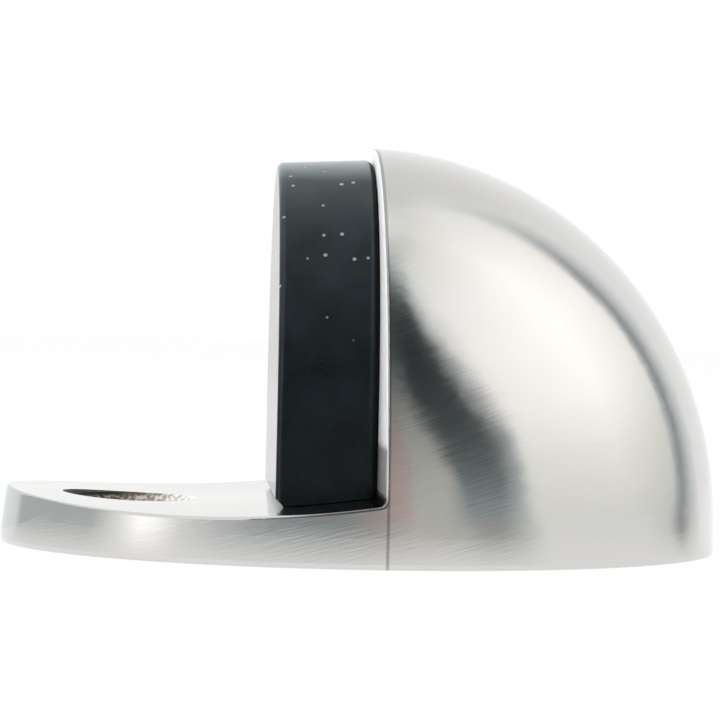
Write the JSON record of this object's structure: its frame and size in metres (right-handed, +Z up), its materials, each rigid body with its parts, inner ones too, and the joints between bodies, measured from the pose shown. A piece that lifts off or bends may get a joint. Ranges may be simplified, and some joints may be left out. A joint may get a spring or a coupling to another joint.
{
  "type": "oval door stop",
  "caption": "Floor-mounted oval door stop: a half dome in brushed satin metal with a black rubber buffer on its flat face and a countersunk screw hole in its tongue.",
  "frame": {"origin": "middle of the oval base, on the floor", "axes": "+Z up from the floor, +X along the oval away from the door, so the buffer faces -X"},
  "size_m": [0.0485, 0.04, 0.027],
  "materials": {
    "satin_metal": "zinc die casting, brushed along its length and plated satin nickel",
    "black_rubber": "moulded black rubber, matt with a slight sheen"
  },
  "bodies": {
    "root": {"body": "satin_metal", "rubber_buffer": "black_rubber"}
  },
  "joints": []
}
